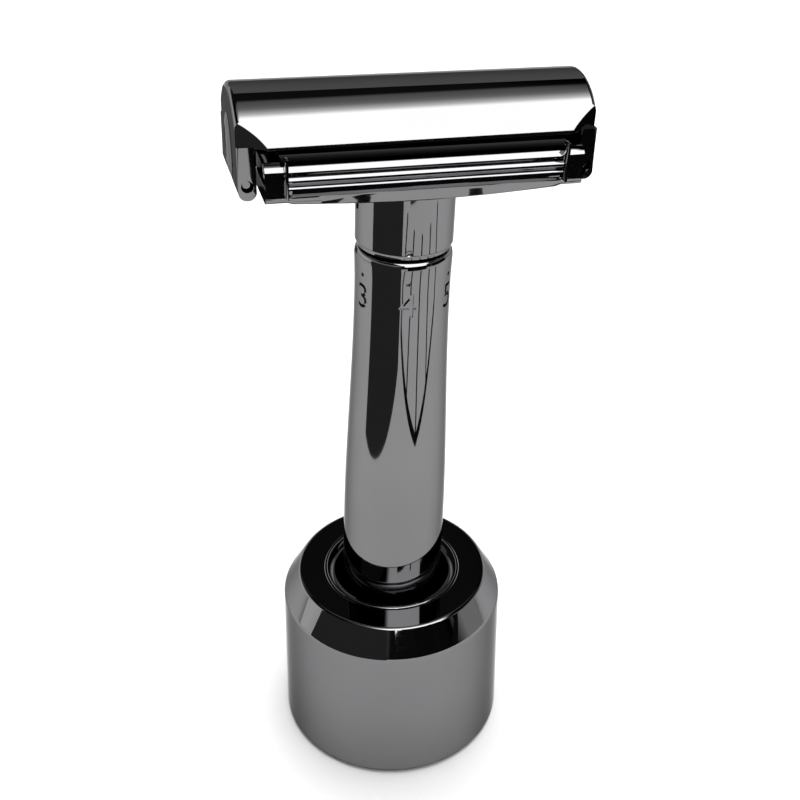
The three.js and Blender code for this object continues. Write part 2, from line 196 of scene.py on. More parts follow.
# a ring drawn up a profile of (radius, height), as on a lathe; closed joins the last ring to the first
def turnPiece(name, profile, facets=128, closed=False):
    deselectAll()
    radius, height = profile[0]
    bpy.ops.mesh.primitive_circle_add(vertices=facets, radius=radius * mm, location=(0, 0, height * mm))
    piece = newest(name)
    bpy.ops.object.mode_set(mode="EDIT")
    bpy.ops.mesh.select_all(action="SELECT")
    steps = profile[1:] + ([profile[0]] if closed else [])
    for nextRadius, nextHeight in steps:
        rise = (nextHeight - height) * mm
        bpy.ops.mesh.extrude_region_move(TRANSFORM_OT_translate={"value": (0, 0, rise)})
        scale = nextRadius / radius
        bpy.ops.transform.resize(value=(scale, scale, 1), center_override=(0, 0, nextHeight * mm))
        radius, height = nextRadius, nextHeight
    bpy.ops.mesh.select_all(action="SELECT")
    bpy.ops.mesh.remove_doubles(threshold=0.001 * mm)
    if not closed:
        bpy.ops.mesh.select_all(action="DESELECT")
        bpy.ops.mesh.select_mode(type="EDGE")
        bpy.ops.mesh.select_non_manifold()
        bpy.ops.mesh.fill_holes(sides=0)
        bpy.ops.mesh.select_all(action="SELECT")
    bpy.ops.mesh.normals_make_consistent(inside=False)
    bpy.ops.object.mode_set(mode="OBJECT")
    return piece


def arcPoints(centreRadius, centreHeight, radius, startDegrees, endDegrees, steps=6):
    angles = [math.radians(startDegrees + (endDegrees - startDegrees) * i / steps) for i in range(steps + 1)]
    return [(centreRadius + radius * math.cos(a), centreHeight + radius * math.sin(a)) for a in angles]


# leans a razor piece into place, gives it its finish and ties it to its body
def finishPiece(piece, material, body, slot, *nodes):
    if body != "stand":
        piece.matrix_world = leanMatrix
        applyPlace(piece)
    piece.data.materials.clear()
    piece.data.materials.append(material)
    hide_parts(*nodes)
    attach(piece, body)


# finishes

# polished metal: colour and gloss vary softly, with hairline scratches and a little handling haze
def metalFinish(name, tint, values):
    material = bpy.data.materials.new(name)
    material.use_nodes = True
    nodes, links = material.node_tree.nodes, material.node_tree.links
    shader = nodes["Principled BSDF"]
    shader.inputs["Metallic"].default_value = 1.0
    shader.inputs["Specular Tint"].default_value = (*[values["edgeTint"]] * 3, 1)
    place = nodes.new("ShaderNodeTexCoord")
    stretch = nodes.new("ShaderNodeMapping")
    stretch.inputs["Scale"].default_value = values["scratchScale"]
    links.new(place.outputs["Object"], stretch.inputs["Vector"])

    haze = nodes.new("ShaderNodeTexNoise")
    haze.inputs["Scale"].default_value = values["hazeScale"]
    haze.inputs["Detail"].default_value = 5
    links.new(place.outputs["Object"], haze.inputs["Vector"])
    scratches = nodes.new("ShaderNodeTexNoise")
    scratches.inputs["Scale"].default_value = 900
    scratches.inputs["Detail"].default_value = 3
    links.new(stretch.outputs["Vector"], scratches.inputs["Vector"])

    tone = nodes.new("ShaderNodeValToRGB")
    tone.color_ramp.elements[0].position = 0.3
    tone.color_ramp.elements[0].color = (*[c * values["toneDrop"] for c in tint], 1)
    tone.color_ramp.elements[1].position = 0.7
    tone.color_ramp.elements[1].color = (*tint, 1)
    links.new(haze.outputs["Fac"], tone.inputs["Fac"])
    links.new(tone.outputs["Color"], shader.inputs["Base Color"])

    gloss = nodes.new("ShaderNodeMapRange")
    gloss.inputs["From Min"].default_value = 0.35
    gloss.inputs["From Max"].default_value = 0.75
    gloss.inputs["To Min"].default_value = values["roughLow"]
    gloss.inputs["To Max"].default_value = values["roughHigh"]
    links.new(haze.outputs["Fac"], gloss.inputs["Value"])
    links.new(gloss.outputs["Result"], shader.inputs["Roughness"])

    bump = nodes.new("ShaderNodeBump")
    bump.inputs["Strength"].default_value = values["bump"]
    bump.inputs["Distance"].default_value = 0.02 * mm
    links.new(scratches.outputs["Fac"], bump.inputs["Height"])
    links.new(bump.outputs["Normal"], shader.inputs["Normal"])
    return material


# rubber or felt: mottled colour and a fine grain
def softFinish(name, tint, values):
    material = bpy.data.materials.new(name)
    material.use_nodes = True
    nodes, links = material.node_tree.nodes, material.node_tree.links
    shader = nodes["Principled BSDF"]
    shader.inputs["Roughness"].default_value = values["rough"]
    shader.inputs["Sheen Weight"].default_value = values["sheen"]
    place = nodes.new("ShaderNodeTexCoord")
    grain = nodes.new("ShaderNodeTexNoise")
    grain.inputs["Scale"].default_value = values["grainScale"]
    grain.inputs["Detail"].default_value = 8
    links.new(place.outputs["Object"], grain.inputs["Vector"])
    tone = nodes.new("ShaderNodeValToRGB")
    tone.color_ramp.elements[0].color = (*[c * 0.55 for c in tint], 1)
    tone.color_ramp.elements[1].color = (*[c * 1.4 for c in tint], 1)
    links.new(grain.outputs["Fac"], tone.inputs["Fac"])
    links.new(tone.outputs["Color"], shader.inputs["Base Color"])
    bump = nodes.new("ShaderNodeBump")
    bump.inputs["Strength"].default_value = values["bump"]
    bump.inputs["Distance"].default_value = 0.1 * mm
    links.new(grain.outputs["Fac"], bump.inputs["Height"])
    links.new(bump.outputs["Normal"], shader.inputs["Normal"])
    return material


polish = {
    "scratchScale": (1, 1, 0.12), "hazeScale": 60, "toneDrop": 0.94,
    "roughLow": 0.02, "roughHigh": 0.05, "bump": 0.03, "edgeTint": 0.4,
}
brushed = {
    "scratchScale": (0.15, 1, 1), "hazeScale": 120, "toneDrop": 0.85,
    "roughLow": 0.16, "roughHigh": 0.3, "bump": 0.35, "edgeTint": 1.0,
}
rubber = {"rough": 0.8, "sheen": 0.1, "grainScale": 900, "bump": 0.4}
felt = {"rough": 0.95, "sheen": 0.6, "grainScale": 2200, "bump": 0.9}
blackChrome = metalFinish("blackChrome", (0.185, 0.185, 0.189), polish)
machinedSteel = metalFinish("machinedSteel", (0.62, 0.63, 0.64), brushed)
springSteel = metalFinish("springSteel", (0.42, 0.43, 0.45), brushed)
# painted shade: the blade's colour is made far darker than real blade steel, standing in for the shade under
# the cap
bladeSteelPaintedShade = metalFinish("bladeSteelPaintedShade", (0.05, 0.05, 0.053), {**polish, "roughLow": 0.05, "roughHigh": 0.12})
turnedBrass = metalFinish("turnedBrass", (0.68, 0.5, 0.24), {**brushed, "scratchScale": (1, 1, 0.1)})
padRubber = softFinish("padRubber", (0.03, 0.03, 0.032), rubber)
padFelt = softFinish("padFelt", (0.06, 0.06, 0.065), felt)
print("finishes made")

# stand
stand = {
    "shoulderRadius": 18.4, "shoulderHeight": 26.1, "topRadius": 15.7,
    "pocketRadius": 16.6, "pocketTop": 3.6, "boreRadius": 9.7, "floorTop": 6.6,
    "lipRadius": 11.1, "lipInner": 9.4, "lipDepth": 5.0, "funnel": 1.2,
    "lipCorner": 0.25, "lipFlat": 0.4, "lipDrop": 0.12, "seatGap": 0.12, "seatDrop": 0.2,
    "footEdge": 0.5, "edge": 0.38,
}


def makeStand():
    low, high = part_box("stand_body")
    bottom, top, foot = low.z / mm, high.z / mm, high.x / mm
    s = stand
    seat = s["lipRadius"] + s["seatGap"]
    seatFloor = top - s["lipDepth"] - s["seatDrop"]
    profile = [
        (s["pocketRadius"], s["pocketTop"]), (s["pocketRadius"], bottom), (foot - s["footEdge"], bottom),
        (foot, bottom + s["footEdge"]), (s["shoulderRadius"], s["shoulderHeight"]), (s["topRadius"], top),
        (seat, top), (seat, seatFloor), (s["boreRadius"], seatFloor), (s["boreRadius"], s["floorTop"]),
    ]
    shell = turnPiece("stand_shell", profile, 192)
    roundEdges(shell, s["edge"], 4, 20)
    smooth(shell)
    finishPiece(shell, blackChrome, "stand", "black_chrome", "stand_body")

    inner, outer = s["lipInner"], s["lipRadius"]
    funnel, corner = s["funnel"], s["lipCorner"]
    ring = turnPiece("bore_lip_ring", [
        (outer, top - s["lipDepth"]), *arcPoints(outer - corner, top - corner, corner, 0, 90, 4),
        (outer - s["lipFlat"], top),
        *arcPoints(inner + funnel, top - funnel - s["lipDrop"], funnel, 125, 180, 12),
        (inner, top - s["lipDepth"]),
    ], 160, closed=True)
    smooth(ring)
    finishPiece(ring, blackChrome, "stand", "black_chrome", "bore_lip")


makeStand()
print("stand made")

# handle barrel
handle = {
    "waistRadius": 7.0, "mouthRadius": 7.1, "baseRadius": 8.2, "swellTop": 84.0, "swellBottom": 40.0,
    "shoulder": 1.2, "shoulderDepth": 0.55, "wall": 2.6, "cavityFloor": 20.0,
    "plugRadius": 5.6, "plugDepth": 6.0, "baseRound": 1.4, "rings": 44, "cutterDepth": 0.8,
    "numeralHeight": 83.2, "numeralSize": 5.4, "numeralDepth": 0.35, "dotRise": 3.3, "dotRadius": 0.3,
    "indexDegrees": -9, "numeralInUse": 4, "numerals": 6,
}


def easeBetween(value, low, high):
    t = min(1, max(0, (value - low) / (high - low)))
    return t * t * (3 - 2 * t)


def handleRadius(height, mouthHeight):
    h = handle
    swell = easeBetween(height, h["swellBottom"], h["swellTop"])
    flare = easeBetween(height, h["swellTop"], mouthHeight)
    straight = h["baseRadius"] + (h["waistRadius"] - h["baseRadius"]) * swell
    return straight + (h["mouthRadius"] - h["waistRadius"]) * flare


# an engraving tool for one numeral and the dot over it, facing -Y
def numeralCutter(value, surface):
    h = handle
    deselectAll()
    bpy.ops.object.text_add(rotation=(math.pi / 2, 0, 0))
    text = bpy.context.object
    text.data.body = str(value)
    text.data.size = h["numeralSize"] * mm
    text.data.align_x = "CENTER"
    text.data.align_y = "CENTER"
    text.data.extrude = h["cutterDepth"] * mm
    text.data.resolution_u = 6
    bpy.ops.object.convert(target="MESH")
    tool = newest("numeral")
    corners = [Vector(corner) for corner in tool.bound_box]
    middle = (corners[0] + corners[6]) / 2
    reach = (surface - h["numeralDepth"]) * mm
    away = -reach - h["cutterDepth"] * mm
    bpy.ops.transform.translate(value=(-middle.x, away, h["numeralHeight"] * mm - middle.z))
    applyPlace(tool)
    dotHeight = h["numeralHeight"] + h["dotRise"]
    dotEnd = (0, -surface + h["numeralDepth"], dotHeight)
    rod("dot", h["dotRadius"], (0, -surface - 1, dotHeight), dotEnd, 24)
    tool.select_set(True)
    bpy.context.view_layer.objects.active = tool
    bpy.ops.object.join()
    turn = math.radians(h["indexDegrees"] + (value - h["numeralInUse"]) * 360 / h["numerals"])
    tool.rotation_euler.z = turn
    applyPlace(tool)
    tidyNormals(tool)
    return tool


def makeHandle():
    low, high = uprightBox("handle_barrel")
    bottom, top = low.z, high.z
    h = handle
    rings = h["rings"]
    start, end = bottom + h["baseRound"], top - h["shoulder"]
    heights = [start + (end - start) * i / rings for i in range(rings + 1)]
    profile = [(h["plugRadius"], bottom + h["plugDepth"]), (h["plugRadius"], bottom)]
    profile += arcPoints(h["baseRadius"] - h["baseRound"], start, h["baseRound"], -90, 0, 6)[:-1]
    profile += [(handleRadius(z, top), z) for z in heights]
    drop = h["shoulder"]
    for degrees in range(15, 91, 15):
        a = math.radians(degrees)
        inset = h["shoulderDepth"] * (1 - math.cos(a))
        profile.append((handleRadius(end, top) - inset, end + drop * math.sin(a)))
    profile += [(h["mouthRadius"] - h["wall"], top), (h["mouthRadius"] - h["wall"], h["cavityFloor"])]
    barrel = turnPiece("barrel_sleeve", profile, 192)
    surface = handleRadius(h["numeralHeight"], top)
    for value in range(1, h["numerals"] + 1):
        cutWith(barrel, numeralCutter(value, surface))
    smooth(barrel, 28)
    finishPiece(barrel, blackChrome, "barrel", "black_chrome", "handle_barrel")


makeHandle()


endPlug = {
    "radius": 5.3, "chamfer": 0.5, "groove": (3.6, 3.5, 3.3), "grooveDepth": 0.12,
    "slotHalfLength": 3, "slotHalfWidth": 0.5, "slotDepth": 0.9, "edge": 0.08,
}


def makeEndPlug():
    low, high = uprightBox("end_plug")
    e = endPlug
    outside, middle, inside = e["groove"]
    plug = turnPiece("end_plug_turned", [
        (e["radius"], high.z), (e["radius"], low.z + e["chamfer"]), (e["radius"] - e["chamfer"], low.z),
        (outside, low.z), (middle, low.z + e["grooveDepth"]), (inside, low.z),
    ], 96)
    length, width = e["slotHalfLength"], e["slotHalfWidth"]
    cutWith(plug, block("slot", (-length, -width, low.z - 1), (length, width, low.z + e["slotDepth"])))
    roundEdges(plug, e["edge"], 2, 40)
    smooth(plug)
    finishPiece(plug, blackChrome, "barrel", "black_chrome", "end_plug")


makeEndPlug()
print("handle made")

# neck collar
collar = {"edge": 0.7, "tuck": 0.25, "bore": 4.5, "markRadius": 0.75, "markDepth": 0.3, "markRise": 0.95}


def makeCollar():
    low, high = uprightBox("neck_collar")
    radius = high.x
    c = collar
    profile = [(c["bore"], high.z - 1.2), (c["bore"], low.z), (radius - c["tuck"], low.z)]
    for degrees in range(15, 91, 15):
        a = math.radians(degrees)
        profile.append((radius - c["tuck"] * math.cos(a), low.z + c["edge"] * math.sin(a)))
    profile += [(radius, low.z + 2), (radius, high.z - 1), (radius, high.z)]
    sleeve = turnPiece("collar_sleeve", profile, 192)
    turn = math.radians(handle["indexDegrees"])
    outward = Vector((math.sin(turn), -math.cos(turn), 0))
    centre = outward * (radius + c["markRadius"] - c["markDepth"]) + Vector((0, 0, low.z + c["markRise"]))
    deselectAll()
    bpy.ops.mesh.primitive_uv_sphere_add(segments=32, ring_count=16, radius=c["markRadius"] * mm,
                                         location=centre * mm)
    cutWith(sleeve, newest("mark"))
    smooth(sleeve)
    finishPiece(sleeve, blackChrome, "razor_frame", "black_chrome", "neck_collar")


makeCollar()

# guard
guard = {
    "barDepth": 1.5, "floorTop": 103.4, "edgeBottom": 101.1,
    "keelDrop": 0.9, "keelShape": 1.7, "keelSteps": 6,
    "ribHalf": 18.4, "grooves": [(104.65, 105.15, 0.9), (103.33, 103.8, 0.8), (102.0, 102.45, 0.5)],
    "ribRounds": [0.75, 0.38], "barRound": 1.3, "bottomRound": 0.7, "keelHalfDepth": 7.0,
    "notch": 0.28, "notchDepth": 0.7, "notchFloor": 102.0,
    "clipHalfWidth": 3.2, "spindleHole": 2.2, "edge": 0.08,
}


def makeGuard():
    low, high = uprightBox("guard_frame")
    g = guard
    x, y, top = high.x, high.y, high.z
    frameBar = block("guard_bar", (-x, -y, g["edgeBottom"]), (x, y, top))
    selectEdges(frameBar, lambda a, b: abs(a.z - b.z) < 0.01 and abs(a.y - b.y) < 0.01 and a.z > top - 0.1)
    bpy.ops.mesh.bevel(offset=g["barRound"] * mm, segments=6)
    selectEdges(frameBar, lambda a, b: abs(a.y - b.y) < 0.01 and max(a.z, b.z) < g["edgeBottom"] + 0.1)
    bpy.ops.mesh.bevel(offset=g["bottomRound"] * mm, segments=5)
    steps = g["keelSteps"]
    for i in range(1 - steps, steps):
        bisect(frameBar, (i * x / steps, 0, 0), (1, 0, 0))
    for side in (-1, 1):
        bisect(frameBar, (side * g["ribHalf"], 0, 0), (1, 0, 0))
        bisect(frameBar, (0, side * g["keelHalfDepth"], 0), (0, 1, 0))
    for bottom, roof, depth in g["grooves"]:
        bisect(frameBar, (0, 0, bottom), (0, 0, 1))
        bisect(frameBar, (0, 0, roof), (0, 0, 1))
    for bottom, roof, depth in g["grooves"]:
        selectFaces(frameBar, lambda c, n: abs(n.y) > 0.9 and abs(c.x) < g["ribHalf"] and bottom < c.z < roof
                    and abs(c.y) > y - 0.05)
        bpy.ops.mesh.extrude_region_shrink_fatten(TRANSFORM_OT_shrink_fatten={"value": -depth * mm})
    for (bottom, roof, depth), radius in zip(g["grooves"], g["ribRounds"]):
        selectEdges(frameBar, lambda a, b: abs(a.z - bottom) < 0.01 and abs(b.z - bottom) < 0.01
                    and abs(a.y - b.y) < 0.01 and abs(a.y) > y - 0.01 and abs(a.x) < g["ribHalf"] + 0.01
                    and abs(b.x) < g["ribHalf"] + 0.01)
        bpy.ops.mesh.bevel(offset=radius * mm, segments=8)
    bpy.ops.object.mode_set(mode="OBJECT")
    for i in range(steps):
        place = i * x / steps
        drop = g["keelDrop"] * (1 - (place / x) ** g["keelShape"])
        selectVerts(frameBar, lambda v: abs(abs(v.x) - place) < 0.05 and v.z < g["edgeBottom"] + 0.3)
        bpy.ops.transform.translate(value=(0, 0, -drop * mm))
    bpy.ops.object.mode_set(mode="OBJECT")
    inner = y - g["barDepth"]
    cutWith(frameBar, block("channel", (-x - 1, -inner, g["floorTop"]), (x + 1, inner, top + 1)))
    half = g["clipHalfWidth"]
    for side in (-1, 1):
        xs = sorted([side * (x - 1), side * (x + 1)])
        cutWith(frameBar, block("clipNotch", (xs[0], -half, 95), (xs[1], half, 110)))
        for front in (-1, 1):
            ends = sorted([side * g["ribHalf"], side * (g["ribHalf"] + g["notch"])])
            faces = sorted([front * (y - g["notchDepth"]), front * (y + 1)])
            notch = block("notch", (ends[0], faces[0], g["notchFloor"]), (ends[1], faces[1], top + 1))
            cutWith(frameBar, notch)
    cutWith(frameBar, rod("spindleHole", g["spindleHole"], (0, 0, 95), (0, 0, 110)))
    tidyNormals(frameBar)
    roundEdges(frameBar, g["edge"], 2, 35)
    smooth(frameBar, 40)
    finishPiece(frameBar, blackChrome, "razor_frame", "black_chrome", "guard_frame")


makeGuard()
print("guard made")

# blade, platform and studs
blade = {
    "bend": 0.008, "thickness": 0.1, "slotHalf": 16.2, "slotWidth": 1.8, "cornerX": 19.1, "cornerY": 8.2,
    "holes": (-15.4, -8.5, 0, 8.5, 15.4), "holeRadius": 2.0, "strips": 16,
}
studs = {"roundRadius": 0.7, "shoulder": 0.8}


def makeBlade():
    low, high = uprightBox("razor_blade")
    b = blade
    crown = low.z + b["bend"] * high.y ** 2
    deselectAll()
    bpy.ops.mesh.primitive_grid_add(x_subdivisions=4, y_subdivisions=36, size=1, location=(0, 0, 0))
    bpy.context.object.scale = (2 * high.x * mm, 2 * high.y * mm, 1)
    sheet = newest("blade_sheet")
    modifier = sheet.modifiers.new("gauge", "SOLIDIFY")
    modifier.thickness = b["thickness"] * mm
    modifier.offset = 1
    bpy.ops.object.modifier_apply(modifier=modifier.name)
    length, width = b["slotHalf"], b["slotWidth"]
    cutWith(sheet, block("slot", (-length, -width, -1), (length, width, 1)))
    for x in b["holes"]:
        cutWith(sheet, rod("hole", b["holeRadius"], (x, 0, -1), (x, 0, 1)))
    for side in (-1, 1):
        for front in (-1, 1):
            xs = sorted([side * b["cornerX"], side * (high.x + 1)])
            ys = sorted([front * b["cornerY"], front * (high.y + 1)])
            cutWith(sheet, block("corner", (xs[0], ys[0], -1), (xs[1], ys[1], 1)))
    for i in range(1, b["strips"]):
        for side in (-1, 1):
            bisect(sheet, (0, side * i * high.y / b["strips"], 0), (0, 1, 0))
    for y in sorted({round(abs((vertex.co / mm).y), 3) for vertex in sheet.data.vertices}):
        selectVerts(sheet, lambda point: round(abs(point.y), 3) == y)
        bpy.ops.transform.translate(value=(0, 0, (crown - b["bend"] * y ** 2) * mm))
    bpy.ops.object.mode_set(mode="OBJECT")
    tidyNormals(sheet)
    smooth(sheet, 25)
    finishPiece(sheet, bladeSteelPaintedShade, "blade", "blade_steel", "razor_blade")


makeBlade()


def makeStuds():
    for side in ("left", "right"):
        low, high = uprightBox("blade_stud_" + side)
        radius = (high.y - low.y) / 2
        dome = studs["roundRadius"]
        post = turnPiece("blade_post_" + side, [
            (radius, low.z), (radius, high.z - studs["shoulder"]),
            *arcPoints(radius - dome, high.z - dome, dome, 15, 90, 5),
        ], 64)
        bpy.ops.transform.translate(value=((low.x + high.x) / 2 * mm, 0, 0))
        applyPlace(post)
        smooth(post)
        finishPiece(post, machinedSteel, "platform", "steel", "blade_stud_" + side)


makeStuds()
print("blade and studs made")

# cap
cap = {
    "radius": 8.6, "centre": 105.0, "lipHalfDepth": 8.3, "lipHalfLength": 20.2,
    "endHalfDepth": 6.5, "endRound": 0.8,
    "underRadius": 62.5, "underTop": 107.8, "cheek": 2.4, "cheekHalfDepth": 7.7, "cheekTop": 107.6,
    "dimpleHalfWidth": 3.9, "dimpleHalfHeight": 4.4, "dimpleDepth": 0.55, "dimpleHeight": 105.4,
    "pinHeight": 102.5, "pinHole": 0.8, "edge": 0.22, "inside": 0.03, "clipPocket": (103.3, 107.0, 2.6),
    "studHole": (14, 1.7),
}


def makeCheek(side, x, footHeight):
    c = cap
    inner, outer = x - c["cheek"], x
    xs = sorted([side * inner, side * outer])
    half = c["cheekHalfDepth"]
    cheek = block("cheek", (xs[0], -half, footHeight), (xs[1], half, c["cheekTop"]))
    selectEdges(cheek, lambda a, b: abs(a.x - b.x) < 0.01 and abs(a.z - b.z) < 0.01
                and a.z < footHeight + 0.1)
    bpy.ops.mesh.bevel(offset=(c["cheek"] / 2 - 0.02) * mm, segments=8)
    selectEdges(cheek, lambda a, b: abs(a.x - b.x) < 0.01 and abs(a.y - b.y) < 0.01 and abs(a.z - b.z) > 1)
    bpy.ops.mesh.bevel(offset=0.3 * mm, segments=3)
    bpy.ops.object.mode_set(mode="OBJECT")
    rootHalf = c["endHalfDepth"] - 0.2
    root = block("root", (xs[0], -rootHalf, c["cheekTop"] - 0.5), (xs[1], rootHalf, c["cheekTop"] + 1))
    cutWith(cheek, root, "UNION")
    return cheek


def makeCap():
    low, high = uprightBox("top_cap")
    c = cap
    x = high.x - c["inside"]
    lip = c["centre"] + math.sqrt(c["radius"] ** 2 - c["lipHalfDepth"] ** 2)
    vault = rod("vault_cap", c["radius"], (-x, 0, c["centre"]), (x, 0, c["centre"]), 224)
    bisect(vault, (0, 0, lip), (0, 0, -1), keepBelow=True)
    run, rise = x - c["lipHalfLength"], c["lipHalfDepth"] - c["endHalfDepth"]
    for side in (-1, 1):
        for front in (-1, 1):
            corner = (side * c["lipHalfLength"], front * c["lipHalfDepth"], 0)
            bisect(vault, corner, (side * rise, front * run, 0), keepBelow=True)
    selectEdges(vault, lambda a, b: abs(a.x) > x - 0.05 and abs(b.x) > x - 0.05 and a.x * b.x > 0
                and min(a.z, b.z) > lip + 0.3)
    bpy.ops.mesh.bevel(offset=c["endRound"] * mm, segments=6)
    bpy.ops.object.mode_set(mode="OBJECT")
    under = rod("under", c["underRadius"], (-30, 0, c["underTop"] - c["underRadius"]),
                (30, 0, c["underTop"] - c["underRadius"]), 720)
    cutWith(vault, under)
    roundEdges(vault, c["edge"], 3, 25)
    for side in (-1, 1):
        cutWith(vault, makeCheek(side, x, low.z), "UNION")
    dimple = (c["dimpleDepth"], c["dimpleHalfWidth"], c["dimpleHalfHeight"])
    for side in (-1, 1):
        deselectAll()
        bpy.ops.mesh.primitive_uv_sphere_add(segments=96, ring_count=48, radius=1 * mm, scale=dimple,
                                             location=(side * x * mm, 0, c["dimpleHeight"] * mm))
        cutWith(vault, newest("dimple"))
        middle = side * (x - c["cheek"] / 2)
        pinHeight = c["pinHeight"]
        cutWith(vault, rod("pinHole", c["pinHole"], (middle, -9, pinHeight), (middle, 9, pinHeight)))
        xs = sorted([side * (x - c["cheek"] - 1), side * (x - c["cheek"] + 1.1)])
        floor, roof, half = c["clipPocket"]
        cutWith(vault, block("clipPocket", (xs[0], -half, floor), (xs[1], half, roof)))
        studX, studRadius = c["studHole"]
        cutWith(vault, rod("studHole", studRadius, (side * studX, 0, 100), (side * studX, 0, 110)))
    tidyNormals(vault)
    smooth(vault, 32)
    finishPiece(vault, blackChrome, "cap", "black_chrome", "top_cap")


makeCap()
print("cap made")

# CAD pieces that stay, with their finishes
keptFinishes = {
    "bore_pad": padFelt, "ballast_plate": machinedSteel, "base_screw": machinedSteel, "foot_pad": padRubber,
    "guide_tube": turnedBrass, "retaining_ring": springSteel, "friction_ring": padRubber,
    "return_spring": springSteel, "adjuster_nut": turnedBrass, "blade_platform": blackChrome,
    "spindle": machinedSteel, "clip_spring_left": springSteel, "clip_spring_right": springSteel,
    "clip_pin_left": blackChrome, "clip_pin_right": blackChrome,
}
for name, finish in keptFinishes.items():
    node = frame["nodes"][name]
    node.data.materials.clear()
    node.data.materials.append(finish)

# studio
lighting = {
    "floorHalf": 2.5, "floorAlbedo": 0.86, "ambient": 0.12,
    "topEnergy": 25, "topSize": 1.3, "topPlace": (0.12, 0.3, 1.2),
    "boxAzimuth": 15, "boxDistance": 700, "boxHalfWidth": 340, "boxLow": 300, "boxHigh": 1700, "boxGlow": 5.6,
    "skyAzimuth": 15, "skyHalfWidth": 0.42, "skyFade": 0.12,
    "sideGlow": 0.7, "sideFade": (0.3, 0.55), "backLift": 2.2,
    "aroundFade": (0.82, 0.66), "backFade": (0.1, -0.5),
    "skyBands": [
        (0, 0.002), (32, 0.002), (35, 1.0), (66, 1.0), (72, 0.47), (77, 0.27), (82, 0.125), (88, 0.08),
        (96, 0.06), (101, 0.004), (180, 0.002),
    ],
}
# dark, grey and pale cards around the object: azimuth in degrees right of the head's front, distance of
# the upright plane, extent along its width and heights, all three in millimetres, and how much it glows
flags = {
    "side_flag": {"azimuth": -65, "distance": 108, "across": (-50, 112), "heights": (0, 120), "glow": 0.07},
    "front_flag": {"azimuth": 0, "distance": 101, "across": (-8, 76), "heights": (61, 104), "glow": 0.01},
    "right_flag": {"azimuth": 70, "distance": 70, "across": (-25, 25), "heights": (82, 112), "glow": 0.01},
    "low_end_flag": {"azimuth": -160, "distance": 62, "across": (0, 18), "heights": (72, 79), "glow": 0.01},
    "high_end_flag": {"azimuth": -160, "distance": 62, "across": (0, 18), "heights": (79, 100), "glow": 0.2},
    "back_card": {"azimuth": 180, "distance": 60, "across": (-85, 45), "heights": (126, 214), "glow": 0.36},
}
# a dark open frame seen only in the polish: two arms rise from a low tip, and posts stand along them
rig = {
    "azimuth": 25, "distance": 60, "radius": 1.4, "glow": 0.015,
    "tip": 30, "armReach": 50, "armHeight": 45, "postTop": 70, "postTaper": 0.8, "posts": 5,
}


def glowMaterial(name, strength):
    material = bpy.data.materials.new(name)
    material.use_nodes = True
    nodes, links = material.node_tree.nodes, material.node_tree.links
    nodes.remove(nodes["Principled BSDF"])
    glow = nodes.new("ShaderNodeEmission")
    glow.inputs["Strength"].default_value = strength
    links.new(glow.outputs["Emission"], nodes["Material Output"].inputs["Surface"])
    return material


# studio gear that shows in the polish and nowhere else
def reflectedOnly(thing, material):
    thing.data.materials.append(material)
    thing.visible_camera = False
    thing.visible_shadow = False
    thing.visible_diffuse = False


# turns something drawn in front of the object to the azimuth of its plane
def standUp(thing, azimuth):
    thing.rotation_euler.z = math.radians(azimuth)
    applyPlace(thing)


def makeFloor():
    deselectAll()
    bpy.ops.mesh.primitive_plane_add(size=2 * lighting["floorHalf"], location=(0, 0, 0))
    floor = bpy.context.object
    floor.name = "studio_floor"
    material = bpy.data.materials.new("paleFloor")
    material.use_nodes = True
    shader = material.node_tree.nodes["Principled BSDF"]
    albedo = lighting["floorAlbedo"]
    shader.inputs["Base Color"].default_value = (albedo, albedo, albedo, 1)
    shader.inputs["Roughness"].default_value = 0.9
    shader.inputs["Specular IOR Level"].default_value = 0.1
    floor.data.materials.append(material)


def makeTopLight():
    deselectAll()
    bpy.ops.object.light_add(type="AREA", location=lighting["topPlace"])
    top = bpy.context.object
    top.name = "top_light"
    top.data.shape = "DISK"
    top.data.size = lighting["topSize"]
    top.data.energy = lighting["topEnergy"]
    top.visible_glossy = False


def makeFlags():
    for name, flag in flags.items():
        left, right = flag["across"]
        low, high = flag["heights"]
        away = flag["distance"]
        card = block(name, (left, -away, low), (right, -away + 0.5, high))
        standUp(card, flag["azimuth"])
        reflectedOnly(card, glowMaterial(name + "_face", flag["glow"]))
    half, away = lighting["boxHalfWidth"], lighting["boxDistance"]
    softbox = block("softbox", (-half, -away - 10, lighting["boxLow"]), (half, -away, lighting["boxHigh"]))
    standUp(softbox, lighting["boxAzimuth"])
    reflectedOnly(softbox, glowMaterial("softbox_face", lighting["boxGlow"]))


def makeRig():
    y, reach, armHeight = -rig["distance"], rig["armReach"], rig["armHeight"]
    parts = []
    for side in (-1, 1):
        parts.append(rod("rig_arm", rig["radius"], (0, y, rig["tip"]), (side * reach, y, armHeight), 12))
    for i in range(rig["posts"]):
        x = reach * (2 * i / (rig["posts"] - 1) - 1)
        foot = rig["tip"] + (armHeight - rig["tip"]) * abs(x) / reach
        roof = (x * rig["postTaper"], y, rig["postTop"])
        parts.append(rod("rig_post", rig["radius"], (x, y, foot), roof, 12))
    deselectAll()
    for part in parts:
        part.select_set(True)
    bpy.context.view_layer.objects.active = parts[0]
    bpy.ops.object.join()
    parts[0].name = "camera_rig"
    standUp(parts[0], rig["azimuth"])
    reflectedOnly(parts[0], glowMaterial("rig_face", rig["glow"]))


def mathNode(nodes, links, operation, *values):
    node = nodes.new("ShaderNodeMath")
    node.operation = operation
    for i, value in enumerate(values):
        if isinstance(value, (int, float)):
            node.inputs[i].default_value = value
        else:
            links.new(value, node.inputs[i])
    return node.outputs[0]


